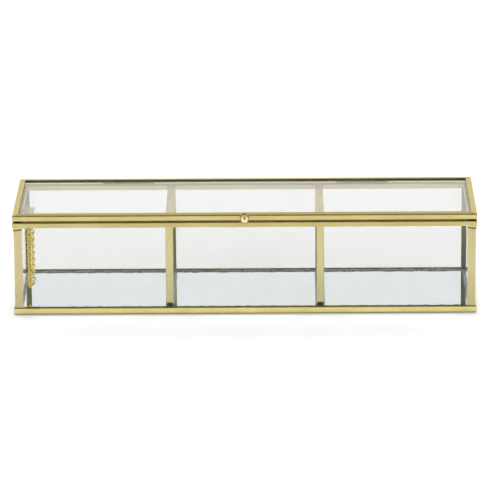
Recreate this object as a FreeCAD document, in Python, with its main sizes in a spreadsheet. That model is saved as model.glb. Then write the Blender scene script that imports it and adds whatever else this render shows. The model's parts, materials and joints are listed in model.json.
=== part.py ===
"""Three-compartment glass jewelry box in a folded brass frame, with a hinged lid and a stay chain.

Frame: +X to the right, +Y to the rear, +Z up, millimetres. The origin is on the resting plane,
at the centre of the closed box's footprint, knob and hinge barrels included.
"""
import FreeCAD, Part
import math
import os
import Sketcher

doc = FreeCAD.newDocument("jewelry_box")

# Driving dimensions, in millimetres and degrees.
dimensions = {
    "box_width": 290.0,
    "box_depth": 83.0,
    "body_height": 59.9,
    "sheet": 0.6,
    "glass": 2.0,
    "putty": 0.1,
    "pane_setback": 1.0,
    "bend_radius": 0.5,
    "bottom_rail_height": 4.0,
    "bottom_flange": 7.0,
    "top_rail_height": 3.2,
    "post_face": 5.3,
    "backing": 0.5,
    "lid_gap": 1.1,
    "lid_front_flange": 6.5,
    "lid_side_flange": 3.6,
    "lid_rear_flange": 3.0,
    "divider_glass": 3.0,
    "divider_sheet": 0.8,
    "divider_leg": 4.5,
    "divider_lift": 3.0,
    "divider_offset": 47.25,
    "glue_leg": 1.4,
    "hinge_length": 32.0,
    "hinge_offset": 75.0,
    "leaf_sheet": 0.5,
    "body_leaf_depth": 3.9,
    "lid_leaf_depth": 4.8,
    "barrel_radius": 1.2,
    "barrel_setback": 1.5,
    "bore_radius": 0.56,
    "pin_radius": 0.5,
    "pin_head_radius": 0.95,
    "pin_head": 0.4,
    "knuckle_gap": 0.15,
    "bumper_radius": 1.5,
    "bumper_height": 1.0,
    "bumper_inset": 7.0,
    "collar_radius": 2.9,
    "collar_thick": 0.8,
    "collar_lift": 0.15,
    "neck_radius": 1.2,
    "knob_radius": 2.65,
    "knob_stand_off": 4.15,
    "chain_setback": 28.0,
    "lug_sheet": 0.8,
    "lug_half_width": 1.5,
    "lug_hole_radius": 0.75,
    "chain_stagger": 3.0,
    "body_eye_height": 55.9,
    "body_eye_inset": 8.5,
    "lid_eye_height": 59.0,
    "lid_eye_inset": 11.0,
    "lid_tab_overhang": 1.6,
    "lid_tab_sheet": 0.75,
    "lid_open_angle": 110.0,
    "wire_radius": 0.4,
    "wire_clearance": 0.1,
    "link_half_width": 1.1,
    "ring_radius": 1.25,
}

sheet_object = doc.addObject("Spreadsheet::Sheet", "Dims")
for row, (alias, number) in enumerate(dimensions.items(), start=1):
    sheet_object.set(f"A{row}", str(number))
    sheet_object.setAlias(f"A{row}", alias)
doc.recompute()


class Size:
    """A number together with the spreadsheet expression that gives it."""

    def __init__(self, value, text):
        self.value = value
        self.text = text

    def __add__(self, other):
        other = asSize(other)
        return Size(self.value + other.value, f"({self.text} + {other.text})")

    def __sub__(self, other):
        other = asSize(other)
        return Size(self.value - other.value, f"({self.text} - {other.text})")

    def __mul__(self, number):
        return Size(self.value * number, f"({self.text} * {number})")

    def __truediv__(self, number):
        return Size(self.value / number, f"({self.text} / {number})")

    def __neg__(self):
        return Size(-self.value, f"(0 - {self.text})")

    __rmul__ = __mul__


def asSize(item):
    return item if isinstance(item, Size) else Size(float(item), str(item))


def dim(alias):
    return Size(dimensions[alias], f"Dims.{alias}")


halfWidth = dim("box_width") / 2
halfDepth = dim("box_depth") / 2
sheet = dim("sheet")
putty = dim("putty")
glass = dim("glass")
bodyTop = dim("body_height")
railTopUnderside = bodyTop - sheet
# The panes stand a little way inside the posts, which stand inside the rails' outer webs.
paneOuter = sheet * 2 + dim("pane_setback") + putty
paneInner = paneOuter + glass
topRailWidth = paneInner + putty + sheet
floorTop = sheet + dim("backing") + glass
lidBottom = bodyTop + dim("lid_gap")
lidHeight = sheet * 2 + putty * 2 + glass
lidTop = lidBottom + lidHeight
hingeHeight = bodyTop + dim("lid_gap") / 2
# The knob reaches further forward than the hinge barrels reach back.
knobReach = dim("knob_stand_off") + dim("knob_radius")
hingeReach = dim("barrel_setback") + dim("barrel_radius")
shift = (knobReach - hingeReach) / 2

nodes = []


def setPlace(item, x=0, y=0, z=0):
    """Binds an object's place; every part is shifted so that the footprint is centred."""
    for axis, size in zip("xyz", (asSize(x), asSize(y), asSize(z))):
        item.setExpression(f"Placement.Base.{axis}", size.text)


def keep(item, label):
    item.Label = label
    nodes.append(item)
    return item


def block(name, x, y, z):
    """Part::Box between two limits on each axis, given as pairs of sizes."""
    item = doc.addObject("Part::Box", name)
    limits = [(asSize(low), asSize(high)) for low, high in (x, y, z)]
    for side, (low, high) in zip(("Length", "Width", "Height"), limits):
        item.setExpression(side, (high - low).text)
    setPlace(item, limits[0][0], limits[1][0] + shift, limits[2][0])
    return item


def rod(name, radius, length, start, direction):
    """Part::Cylinder along X or Y from a start point."""
    item = doc.addObject("Part::Cylinder", name)
    item.setExpression("Radius", radius.text)
    item.setExpression("Height", length.text)
    turns = {"x": ((0, 1, 0), 90), "-y": ((1, 0, 0), 90), "z": ((0, 0, 1), 0)}
    axis, angle = turns[direction]
    item.Placement = FreeCAD.Placement(FreeCAD.Vector(), FreeCAD.Rotation(FreeCAD.Vector(*axis), angle))
    setPlace(item, start[0], asSize(start[1]) + shift, start[2])
    return item


def joinPieces(name, pieces):
    item = doc.addObject("Part::MultiFuse", name)
    item.Shapes = pieces
    item.Refine = True
    return item


def cutPiece(name, base, tool):
    item = doc.addObject("Part::Cut", name)
    item.Base = base
    item.Tool = tool
    return item


def outline(body, name, plane, points):
    """A closed sketch polygon on one of the body's origin planes, each corner bound to the sheet."""
    sketch = body.newObject("Sketcher::SketchObject", name)
    support = [item for item in body.Origin.OriginFeatures if item.Role == plane][0]
    sketch.AttachmentSupport = (support, [""])
    sketch.MapMode = "FlatFace"
    addLoop(sketch, points)
    return sketch


def addLoop(sketch, points):
    corners = [(asSize(across), asSize(up)) for across, up in points]
    first = sketch.GeometryCount
    count = len(corners)
    for index in range(count):
        start = FreeCAD.Vector(corners[index][0].value, corners[index][1].value, 0)
        following = corners[(index + 1) % count]
        end = FreeCAD.Vector(following[0].value, following[1].value, 0)
        sketch.addGeometry(Part.LineSegment(start, end), False)
    for index in range(count):
        line = first + index
        following = first + (index + 1) % count
        sketch.addConstraint(Sketcher.Constraint("Coincident", line, 2, following, 1))
        for kind, size in zip(("DistanceX", "DistanceY"), corners[index]):
            number = sketch.addConstraint(Sketcher.Constraint(kind, -1, 1, line, 1, size.value))
            sketch.setExpression(f"Constraints[{number}]", size.text)


def pad(body, sketch, length, symmetric):
    feature = body.newObject("PartDesign::Pad", body.Name + "_pad")
    feature.Profile = sketch
    feature.SideType = "Symmetric" if symmetric else "One side"
    feature.setExpression("Length", length.text)
    return feature


def roundBends(body, base, direction, bends):
    """Rounds the long edges that run along one axis through the given points across it."""
    doc.recompute()
    names = []
    across = [axis for axis in "xyz" if axis != direction]
    for number, edge in enumerate(base.Shape.Edges, start=1):
        ends = [vertex.Point for vertex in edge.Vertexes]
        if len(ends) != 2:
            continue
        for bend in bends:
            offsets = [abs(getattr(end, axis) - size.value) for end in ends for axis, size in zip(across, bend)]
            if max(offsets) < 1e-4:
                names.append(f"Edge{number}")
    feature = body.newObject("PartDesign::Fillet", body.Name + "_bends")
    feature.Base = (base, names)
    feature.setExpression("Radius", "Dims.bend_radius")
    return feature


def trim(body, name, plane, loops):
    """Cuts the ends of a strip off along its mitres, right through the body."""
    sketch = outline(body, name, plane, loops[0])
    for loop in loops[1:]:
        addLoop(sketch, loop)
    doc.recompute()
    before = body.Shape.Volume
    feature = body.newObject("PartDesign::Pocket", name + "_cut")
    feature.Profile = sketch
    feature.Type = "ThroughAll"
    feature.SideType = "Symmetric"
    doc.recompute()
    if not feature.Shape.Volume < before:
        raise RuntimeError(f"{name} removed nothing")
    return feature


def newBody(name):
    body = doc.addObject("PartDesign::Body", name)
    setPlace(body, 0, shift, 0)
    return body


sides = {
    "front": ("y", -1),
    "rear": ("y", 1),
    "left": ("x", -1),
    "right": ("x", 1),
}


def foldedRail(label, side, profile, bends, widths):
    """A folded strip along one side of the frame, with mitred ends.

    profile gives (distance inward from the outer face, height) pairs. widths holds the flange
    width of the strip itself and of its left and right (or front and rear) neighbours.
    """
    axis, sign = sides[side]
    body = newBody(label)
    own, low, high = widths
    if axis == "y":
        face, halfRun, plane, direction = halfDepth, halfWidth, "YZ_Plane", "x"
    else:
        face, halfRun, plane, direction = halfWidth, halfDepth, "XZ_Plane", "y"
    place = [((face - inward) * sign, height) for inward, height in profile]
    section = outline(body, label + "_section", plane, place)
    strip = pad(body, section, halfRun * 2, True)
    corners = [((face - inward) * sign, height) for inward, height in bends]
    roundBends(body, strip, direction, corners)
    loops = []
    for end, neighbour in ((-1, low), (1, high)):
        loop = [(halfRun * end, face * sign), ((halfRun - neighbour) * end, (face - own) * sign),
                (halfRun * end, (face - own) * sign)]
        loops.append(loop if axis == "y" else [(up, across) for across, up in loop])
    trim(body, label + "_mitre", "XY_Plane", loops)
    return keep(body, label)


# Bottom rails: L sections that carry the floor, the panes and the posts on their flanges.
lowHeight = dim("bottom_rail_height")
lowFlange = dim("bottom_flange")
lowProfile = [(0, 0), (0, lowHeight), (sheet, lowHeight), (sheet, sheet), (lowFlange, sheet), (lowFlange, 0)]
for side in sides:
    foldedRail(f"bottom_rail_{side}", side, lowProfile, [(asSize(0), asSize(0))], [lowFlange] * 3)

# Top rails: inverted channels over the panes' top edges and the posts' upper ends.
railFoot = bodyTop - dim("top_rail_height")
topProfile = [(0, railFoot), (0, bodyTop), (topRailWidth, bodyTop), (topRailWidth, railFoot),
              (topRailWidth - sheet, railFoot), (topRailWidth - sheet, railTopUnderside),
              (sheet, railTopUnderside), (sheet, railFoot)]
topBends = [(asSize(0), bodyTop), (topRailWidth, bodyTop)]
for side in sides:
    foldedRail(f"top_rail_{side}", side, topProfile, topBends, [topRailWidth] * 3)

# Corner posts: L angles that stand inside the bottom rails and reach up inside the top rails.
postFace = dim("post_face")
for front in ("front", "rear"):
    for hand in ("left", "right"):
        alongY = sides[front][1]
        alongX = sides[hand][1]
        label = f"corner_post_{front}_{hand}"
        body = newBody(label)
        body.setExpression("Placement.Base.z", sheet.text)
        outX = halfWidth - sheet
        outY = halfDepth - sheet
        corners = [(outX, outY), (outX - postFace, outY), (outX - postFace, outY - sheet),
                   (outX - sheet, outY - sheet), (outX - sheet, outY - postFace), (outX, outY - postFace)]
        section = outline(body, label + "_section", "XY_Plane", [(x * alongX, y * alongY) for x, y in corners])
        angle = pad(body, section, railTopUnderside - sheet, False)
        roundBends(body, angle, "z", [(outX * alongX, outY * alongY)])
        keep(body, label)

# Panes: the front and rear ones run the full width, the side ones stand between them.
paneFoot = sheet
paneHead = railTopUnderside - putty
wide = halfWidth - paneOuter
for front in ("front", "rear"):
    sign = sides[front][1]
    low, high = sorted(((halfDepth - paneOuter) * sign, (halfDepth - paneInner) * sign), key=lambda size: size.value)
    keep(block(f"{front}_pane", (-wide, wide), (low, high), (paneFoot, paneHead)), f"{front}_glass")
deep = halfDepth - paneInner - putty
for hand in ("left", "right"):
    sign = sides[hand][1]
    low, high = sorted(((halfWidth - paneOuter) * sign, (halfWidth - paneInner) * sign), key=lambda size: size.value)
    keep(block(f"{hand}_pane", (low, high), (-deep, deep), (paneFoot, paneHead)), f"{hand}_glass")

# Floor: a mirror face up on a thin backing board.
floorX = halfWidth - paneInner - putty
floorY = deep
backingTop = sheet + dim("backing")
keep(block("backing_sheet", (-floorX, floorX), (-floorY, floorY), (sheet, backingTop)), "floor_backing")
keep(block("mirror_sheet", (-floorX, floorX), (-floorY, floorY), (backingTop, floorTop)), "mirror_floor")

# Dividers: a pane edged with channel at the front, the top and the rear.
dividerX = dim("divider_offset")
dividerSheet = dim("divider_sheet")
dividerWidth = dim("divider_glass") + dividerSheet * 2 + putty * 2
dividerEnd = halfDepth - topRailWidth - putty
dividerTop = bodyTop - putty
dividerFoot = floorTop + dim("divider_lift")
leg = dim("divider_leg")
half = dividerWidth / 2
slot = half - dividerSheet
for hand in ("left", "right"):
    middle = dividerX * sides[hand][1]
    for front in ("front", "rear"):
        sign = sides[front][1]
        label = f"{hand}_divider_{front}_channel"
        body = newBody(label)
        body.setExpression("Placement.Base.z", dividerFoot.text)
        corners = [(half, 0), (half, leg), (slot, leg), (slot, dividerSheet),
                   (-slot, dividerSheet), (-slot, leg), (-half, leg), (-half, 0)]
        points = [(middle + asSize(x), (dividerEnd - y) * sign) for x, y in corners]
        section = outline(body, label + "_section", "XY_Plane", points)
        channel = pad(body, section, dividerTop - dividerFoot, False)
        roundBends(body, channel, "z", [(middle - half, dividerEnd * sign), (middle + half, dividerEnd * sign)])
        head = dividerTop - dividerFoot
        mitre = [(dividerEnd * sign, head), ((dividerEnd - leg) * sign, head), ((dividerEnd - leg) * sign, head - leg)]
        trim(body, label + "_mitre", "YZ_Plane", [mitre])
        keep(body, label)
    label = f"{hand}_divider_top_channel"
    body = newBody(label)
    corners = [(-half, -leg), (-half, 0), (half, 0), (half, -leg),
               (slot, -leg), (slot, -dividerSheet), (-slot, -dividerSheet), (-slot, -leg)]
    points = [(middle + asSize(x), dividerTop + asSize(y)) for x, y in corners]
    section = outline(body, label + "_section", "XZ_Plane", points)
    channel = pad(body, section, dividerEnd * 2, True)
    roundBends(body, channel, "y", [(middle - half, dividerTop), (middle + half, dividerTop)])
    loops = [[(dividerEnd * end, dividerTop), ((dividerEnd - leg) * end, dividerTop - leg),
              (dividerEnd * end, dividerTop - leg)] for end in (-1, 1)]
    trim(body, label + "_mitre", "YZ_Plane", loops)
    keep(body, label)
    halfPane = dim("divider_glass") / 2
    reach = dividerEnd - dividerSheet - putty
    pane = block(f"{hand}_divider_pane", (middle - halfPane, middle + halfPane), (-reach, reach),
                 (floorTop, dividerTop - dividerSheet - putty))
    keep(pane, f"{hand}_divider_glass")
    # Clear glue: a low fillet along both sides of the pane's foot.
    label = f"{hand}_divider_glue"
    body = newBody(label)
    glueLeg = dim("glue_leg")
    loops = [[(middle + halfPane * side, floorTop), (middle + (halfPane + glueLeg) * side, floorTop),
              (middle + halfPane * side, floorTop + glueLeg)] for side in (-1, 1)]
    section = outline(body, label + "_section", "XZ_Plane", loops[0])
    addLoop(section, loops[1])
    pad(body, section, (dividerEnd - leg) * 2, True)
    body.AllowCompound = True
    keep(body, label)

# Lid: a pane in four channels that open inward. The front one has the widest flanges.
flanges = {
    "front": dim("lid_front_flange"),
    "rear": dim("lid_rear_flange"),
    "left": dim("lid_side_flange"),
    "right": dim("lid_side_flange"),
}
lidBends = [(asSize(0), lidTop), (asSize(0), lidBottom)]
for side, flange in flanges.items():
    profile = [(0, lidBottom), (0, lidTop), (flange, lidTop), (flange, lidTop - sheet),
               (sheet, lidTop - sheet), (sheet, lidBottom + sheet), (flange, lidBottom + sheet),
               (flange, lidBottom)]
    neighbours = ("left", "right") if sides[side][0] == "y" else ("front", "rear")
    widths = [flange] + [flanges[name] for name in neighbours]
    foldedRail(f"lid_rail_{side}", side, profile, lidBends, widths)
edge = sheet + putty
lidPane = block("lid_pane", (edge - halfWidth, halfWidth - edge), (edge - halfDepth, halfDepth - edge),
                (lidBottom + edge, lidTop - edge))
keep(lidPane, "lid_glass")

# Knob: a collar on the front rail's face, a neck and a ball.
knobHeight = bodyTop + dim("collar_radius") + dim("collar_lift")
collarDisc = rod("collar_disc", dim("collar_radius"), dim("collar_thick"), (0, -halfDepth, knobHeight), "-y")
doc.recompute()
collar = doc.addObject("Part::Fillet", "collar_rounded")
collar.Base = collarDisc
frontRim = [number for number, rim in enumerate(collarDisc.Shape.Edges, start=1)
            if rim.Closed and rim.CenterOfMass.y < shift.value - halfDepth.value - 0.1]
rimRadius = dimensions["collar_thick"] / 2
collar.Edges = [(number, rimRadius, rimRadius) for number in frontRim]
keep(collar, "knob_collar")
neckStart = -halfDepth - dim("collar_thick")
neck = rod("knob_neck", dim("neck_radius"), dim("knob_stand_off") - dim("collar_thick"), (0, neckStart, knobHeight), "-y")
ball = doc.addObject("Part::Sphere", "knob_ball")
ball.setExpression("Radius", "Dims.knob_radius")
setPlace(ball, 0, shift - halfDepth - dim("knob_stand_off"), knobHeight)
keep(joinPieces("knob", [neck, ball]), "lid_knob")

# Bumpers: two clear dots on the front top rail that the closed lid comes down to.
bumpers = []
for hand in ("left", "right"):
    place = ((halfWidth - dim("bumper_inset")) * sides[hand][1], topRailWidth / 2 - halfDepth, bodyTop)
    bumpers.append(rod(f"{hand}_bumper", dim("bumper_radius"), dim("bumper_height"), place, "z"))
bumperPair = doc.addObject("Part::Compound", "bumper_pair")
bumperPair.Links = bumpers
keep(bumperPair, "lid_bumpers")

# Hinges: two folded leaves with five interleaved knuckles and a pin each.
hingeY = halfDepth + dim("barrel_setback")
leaf = dim("leaf_sheet")
lidLeafFoot = lidBottom - leaf
knuckleCount = 5
knuckleRun = dim("hinge_length") / knuckleCount
gap = dim("knuckle_gap")
for hand in ("left", "right"):
    start = dim("hinge_offset") * sides[hand][1] - dim("hinge_length") / 2
    halves = {"body": (0, 2, 4), "lid": (1, 3)}
    for owner, places in halves.items():
        leafZ = (bodyTop, bodyTop + leaf) if owner == "body" else (lidLeafFoot, lidBottom)
        depth = dim(f"{owner}_leaf_depth")
        name = f"{hand}_{owner}_leaf"
        pieces = [block(name + "_plate", (start, start + dim("hinge_length")), (halfDepth - depth, halfDepth), leafZ)]
        for place in places:
            low = start + knuckleRun * place + gap / 2
            high = low + knuckleRun - gap
            pieces.append(block(f"{name}_finger_{place}", (low, high), (halfDepth - sheet, hingeY), leafZ))
            pieces.append(rod(f"{name}_knuckle_{place}", dim("barrel_radius"), knuckleRun - gap,
                              (low, hingeY, hingeHeight), "x"))
        solid = joinPieces(name + "_solid", pieces)
        bore = rod(name + "_bore", dim("bore_radius"), dim("hinge_length"), (start, hingeY, hingeHeight), "x")
        keep(cutPiece(name, solid, bore), f"{hand}_hinge_{owner}_leaf")
    head = dim("pin_head")
    pinStart = start - gap - head
    pinLength = dim("hinge_length") + (gap + head) * 2
    shaft = rod(f"{hand}_pin_shaft", dim("pin_radius"), pinLength, (pinStart, hingeY, hingeHeight), "x")
    nearHead = rod(f"{hand}_pin_near", dim("pin_head_radius"), head, (pinStart, hingeY, hingeHeight), "x")
    farHead = rod(f"{hand}_pin_far", dim("pin_head_radius"), head,
                  (pinStart + pinLength - head, hingeY, hingeHeight), "x")
    keep(joinPieces(f"{hand}_pin", [shaft, nearHead, farHead]), f"{hand}_hinge_pin")

# Chain lugs: a plate under the left top rail's inner lip, and a tab from the lid's left rail.
chainY = dim("chain_setback") - halfDepth
lugHalf = dim("lug_half_width")
plateHalf = dim("lug_sheet") / 2
bodyEyeX = dim("body_eye_inset") - halfWidth
bodyEyeZ = dim("body_eye_height")
lipX = topRailWidth - halfWidth
lugTop = bodyTop - sheet
plate = block("body_lug_plate", (bodyEyeX - plateHalf, bodyEyeX + plateHalf), (chainY - lugHalf, chainY + lugHalf),
              (bodyEyeZ - lugHalf, lugTop))
arm = block("body_lug_arm", (lipX, bodyEyeX), (chainY - lugHalf, chainY - lugHalf / 2),
            (bodyEyeZ + lugHalf, lugTop))
hole = rod("body_lug_hole", dim("lug_hole_radius"), dim("lug_sheet") * 2, (bodyEyeX - plateHalf * 2, chainY, bodyEyeZ), "x")
keep(cutPiece("body_lug", joinPieces("body_lug_solid", [plate, arm]), hole), "chain_lug_body")

lidEyeX = dim("lid_eye_inset") - halfWidth
lidEyeZ = dim("lid_eye_height")
lidChainY = chainY - dim("chain_stagger")
tabFoot = lidBottom - dim("lid_tab_sheet")
tab = block("lid_lug_tab", (sheet * 2 - halfWidth, lidEyeX + plateHalf + dim("lid_tab_overhang")),
            (lidChainY - lugHalf, lidChainY + lugHalf),
            (tabFoot, lidBottom))
ear = block("lid_lug_ear", (lidEyeX - plateHalf, lidEyeX + plateHalf), (lidChainY - lugHalf, lidChainY + lugHalf),
            (lidEyeZ - lugHalf, tabFoot))
hole = rod("lid_lug_hole", dim("lug_hole_radius"), dim("lug_sheet") * 2, (lidEyeX - plateHalf * 2, lidChainY, lidEyeZ),
           "x")
keep(cutPiece("lid_lug", joinPieces("lid_lug_solid", [tab, ear]), hole), "chain_lug_lid")

# Stay chain. With the lid open it is one straight line from eye to eye; closed, it hangs in a U.
# Its two strands and the ring between them are stiff pieces that turn with the lid.
wire = dimensions["wire_radius"]
hook = wire * 2 + dimensions["wire_clearance"]
linkHalf = dimensions["link_half_width"]
strandLinks = 11


def openPosition(point, angle):
    """Where a point on the lid goes when the lid is raised by an angle in degrees."""
    turn = FreeCAD.Rotation(FreeCAD.Vector(1, 0, 0), -angle)
    axis = FreeCAD.Vector(0, hingeY.value + shift.value, hingeHeight.value)
    return axis + turn.multVec(point - axis)


bodyEye = FreeCAD.Vector(bodyEyeX.value, chainY.value + shift.value, bodyEyeZ.value)
lidEye = FreeCAD.Vector(lidEyeX.value, lidChainY.value + shift.value, lidEyeZ.value)
span = openPosition(lidEye, dimensions["lid_open_angle"]) - bodyEye
pitch = (span.Length - hook) / (2 * strandLinks + 1)
strandRun = strandLinks * pitch
# Both strands lean towards each other by the same amount, so that the ends they hang by are one link apart.
rise = lidEye.z - bodyEye.z
apart = math.hypot(lidEye.x - bodyEye.x, lidEye.y - bodyEye.y)
toward = FreeCAD.Vector(lidEye.x - bodyEye.x, lidEye.y - bodyEye.y, 0) / apart
lean = (apart - math.sqrt((pitch + hook) ** 2 - rise ** 2)) / 2
drop = FreeCAD.Vector(0, 0, -math.sqrt(strandRun ** 2 - lean ** 2))
bodyEnd = bodyEye + toward * lean + drop
lidEnd = lidEye - toward * lean + drop


def wireLink():
    """One oval link along +X, flat in XY, with the near end's wire centre at the origin."""
    length = pitch + hook
    near = FreeCAD.Vector(linkHalf, 0, 0)
    far = FreeCAD.Vector(length - linkHalf, 0, 0)
    up = FreeCAD.Vector(0, 0, 1)
    pieces = []
    for side, centre, turn in ((-1, near, -180), (1, far, -180)):
        start = centre + FreeCAD.Vector(0, linkHalf * side, 0)
        disc = Part.Face(Part.Wire(Part.makeCircle(wire, start, FreeCAD.Vector(1, 0, 0))))
        pieces.append(disc.revolve(centre, up, turn))
    for side in (-1, 1):
        start = near + FreeCAD.Vector(0, linkHalf * side, 0)
        pieces.append(Part.makeCylinder(wire, length - linkHalf * 2, start, FreeCAD.Vector(1, 0, 0)))
    return pieces[0].multiFuse(pieces[1:]).removeSplitter()


def strand(name, start, end, firstRoll, lastRoll):
    """Links from start towards end; each is turned a right angle from the one before, with a slow twist."""
    along = (end - start).normalize()
    across = FreeCAD.Vector(0, 1, 0)
    basis = FreeCAD.Rotation(along, across, along.cross(across), "XYZ")
    link = wireLink()
    links = []
    for index in range(strandLinks):
        roll = firstRoll + (lastRoll - firstRoll) * index / (strandLinks - 1)
        turn = basis.multiply(FreeCAD.Rotation(FreeCAD.Vector(1, 0, 0), roll))
        piece = link.copy()
        piece.Placement = FreeCAD.Placement(start + along * (index * pitch), turn)
        links.append(piece)
    item = doc.addObject("Part::Feature", name)
    item.Shape = Part.makeCompound(links)
    return item


# The first link of each strand straddles its lug; the last ones turn to meet the ring.
quarterTurns = 90 * (strandLinks - 1)
endRoll = quarterTurns + math.degrees(math.atan2(toward.x, toward.y))
keep(strand("body_strand", bodyEye, bodyEnd, 90, endRoll), "chain_body_strand")
keep(strand("lid_strand", lidEye, lidEnd, 90, endRoll + 90), "chain_lid_strand")
ringRadius = dimensions["ring_radius"]
acrossEnds = (lidEnd - bodyEnd).normalize()
ring = doc.addObject("Part::Feature", "joining_ring")
ring.Shape = Part.makeTorus(ringRadius, wire, bodyEnd + acrossEnds * ringRadius,
                            acrossEnds.cross(toward.cross(FreeCAD.Vector(0, 0, 1))))
keep(ring, "chain_ring")

doc.recompute()
for item in doc.Objects:
    if "Invalid" in item.State or "Error" in item.State:
        raise RuntimeError(f"{item.Label} did not recompute: {item.State}")
labels = [item.Label for item in nodes]
if len(set(labels)) != len(labels):
    raise RuntimeError("two sub-parts share a label")
for item in nodes:
    if item.Shape.isNull() or not item.Shape.isValid() or item.Shape.Volume <= 0:
        raise RuntimeError(f"{item.Label} has no sound shape")

os.makedirs("parts", exist_ok=True)
for item in nodes:
    item.Shape.exportStep(f"parts/{item.Label}.step")
print(f"{len(nodes)} sub-parts, chain pitch {pitch:.3f} mm, lean {lean:.3f} mm")
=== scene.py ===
import json
import math

import bmesh
import bpy
from mathutils import Matrix, Vector, noise


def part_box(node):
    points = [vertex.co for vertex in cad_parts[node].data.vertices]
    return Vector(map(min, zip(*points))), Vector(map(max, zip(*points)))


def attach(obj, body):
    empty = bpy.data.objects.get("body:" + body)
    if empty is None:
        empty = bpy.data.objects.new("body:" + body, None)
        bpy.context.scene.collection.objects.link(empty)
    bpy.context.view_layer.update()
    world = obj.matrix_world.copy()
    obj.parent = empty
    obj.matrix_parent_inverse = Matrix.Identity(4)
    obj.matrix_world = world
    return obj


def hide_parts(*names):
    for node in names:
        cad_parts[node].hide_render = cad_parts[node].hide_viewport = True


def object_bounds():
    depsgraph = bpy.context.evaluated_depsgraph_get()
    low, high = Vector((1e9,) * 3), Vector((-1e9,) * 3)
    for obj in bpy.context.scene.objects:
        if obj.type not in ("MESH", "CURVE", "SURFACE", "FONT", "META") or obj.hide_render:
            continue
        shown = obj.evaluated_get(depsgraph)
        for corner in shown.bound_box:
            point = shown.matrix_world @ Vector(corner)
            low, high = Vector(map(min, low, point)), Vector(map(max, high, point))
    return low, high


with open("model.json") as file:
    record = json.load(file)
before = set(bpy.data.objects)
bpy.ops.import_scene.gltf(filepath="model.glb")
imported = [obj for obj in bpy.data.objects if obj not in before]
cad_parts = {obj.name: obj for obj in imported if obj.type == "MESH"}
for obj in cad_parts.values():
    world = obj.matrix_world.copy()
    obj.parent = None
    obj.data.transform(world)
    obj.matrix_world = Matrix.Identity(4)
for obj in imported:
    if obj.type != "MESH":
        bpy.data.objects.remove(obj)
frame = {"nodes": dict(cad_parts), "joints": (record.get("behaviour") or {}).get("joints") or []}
cadLow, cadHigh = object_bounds()
jointByName = {joint["name"]: joint for joint in frame["joints"]}

millimetre = 0.001
acrossX, acrossY, upZ = 0, 1, 2
straightUp = (0.0, 0.0, 1.0)

frontRailLow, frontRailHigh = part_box("top_rail_front")
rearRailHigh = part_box("top_rail_rear")[1]
boxMiddleY = (frontRailLow.y + rearRailHigh.y) / 2
boxHalfWidth = frontRailHigh.x
boxHalfDepth = (rearRailHigh.y - frontRailLow.y) / 2


# node helpers

def feed(tree, socket, value):
    if isinstance(value, bpy.types.NodeSocket):
        tree.links.new(value, socket)
    else:
        socket.default_value = value


def makeNode(tree, kind, inputs=None, **settings):
    node = tree.nodes.new(kind)
    for name, value in settings.items():
        setattr(node, name, value)
    for name, value in (inputs or {}).items():
        feed(tree, node.inputs[name], value)
    return node


def calc(tree, operation, first, second=0.0):
    return makeNode(tree, "ShaderNodeMath", {0: first, 1: second}, operation=operation).outputs[0]


def ease(tree, value, start, end, low=0.0, high=1.0):
    # smooth step from low to high as value goes from start to end
    inputs = {"Value": value, "From Min": start, "From Max": end, "To Min": low, "To Max": high}
    return makeNode(tree, "ShaderNodeMapRange", inputs, interpolation_type="SMOOTHSTEP").outputs[0]


def blendColour(tree, share, first, second):
    return makeNode(tree, "ShaderNodeMix", {0: share, 6: first, 7: second}, data_type="RGBA").outputs[2]


def cloud(tree, place, size, detail=2.0, roughness=0.5):
    inputs = {"Vector": place, "Scale": 1 / size, "Detail": detail, "Roughness": roughness}
    return makeNode(tree, "ShaderNodeTexNoise", inputs).outputs["Fac"]


def stretchedGrain(tree, place, along, length, width):
    scales = [1 / width] * 3
    if along is not None:
        scales[along] = 1 / length
    spread = makeNode(tree, "ShaderNodeMapping", {"Vector": place, "Scale": scales})
    return cloud(tree, spread.outputs["Vector"], 1.0, 3.0)


def addBump(tree, shader, height, strength, depth):
    bump = makeNode(tree, "ShaderNodeBump", {"Height": height, "Strength": strength, "Distance": depth})
    tree.links.new(bump.outputs["Normal"], shader.inputs["Normal"])


def startMaterial(name):
    material = bpy.data.materials.new(name)
    material.use_nodes = True
    tree = material.node_tree
    shader = next(node for node in tree.nodes if node.type == "BSDF_PRINCIPLED")
    coords = tree.nodes.new("ShaderNodeTexCoord")
    return material, tree, shader, coords


def colour(red, green, blue):
    return (red, green, blue, 1.0)


def facingShare(tree, coords, direction, start, end):
    # 0 to 1 as the surface's own normal turns from start to end, as cosines against direction
    turned = makeNode(tree, "ShaderNodeVectorMath", {0: coords.outputs["Normal"], 1: direction},
                      operation="DOT_PRODUCT")
    return ease(tree, turned.outputs["Value"], start, end)


def bendShare(tree, coords, along):
    # 1 on the corners of a rail's section, where hands and cloths rub it and where a highlight on the bends
    # is painted
    split = makeNode(tree, "ShaderNodeSeparateXYZ", {"Vector": coords.outputs["Generated"]})
    sides = []
    for axis in range(3):
        if axis != along:
            fromMiddle = calc(tree, "ABSOLUTE", calc(tree, "SUBTRACT", split.outputs[axis], 0.5))
            sides.append(calc(tree, "MULTIPLY", fromMiddle, 2.0))
    corner = sides[0]
    for side in sides[1:]:
        corner = calc(tree, "MINIMUM", corner, side)
    return ease(tree, corner, 0.76, 0.97)


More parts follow.
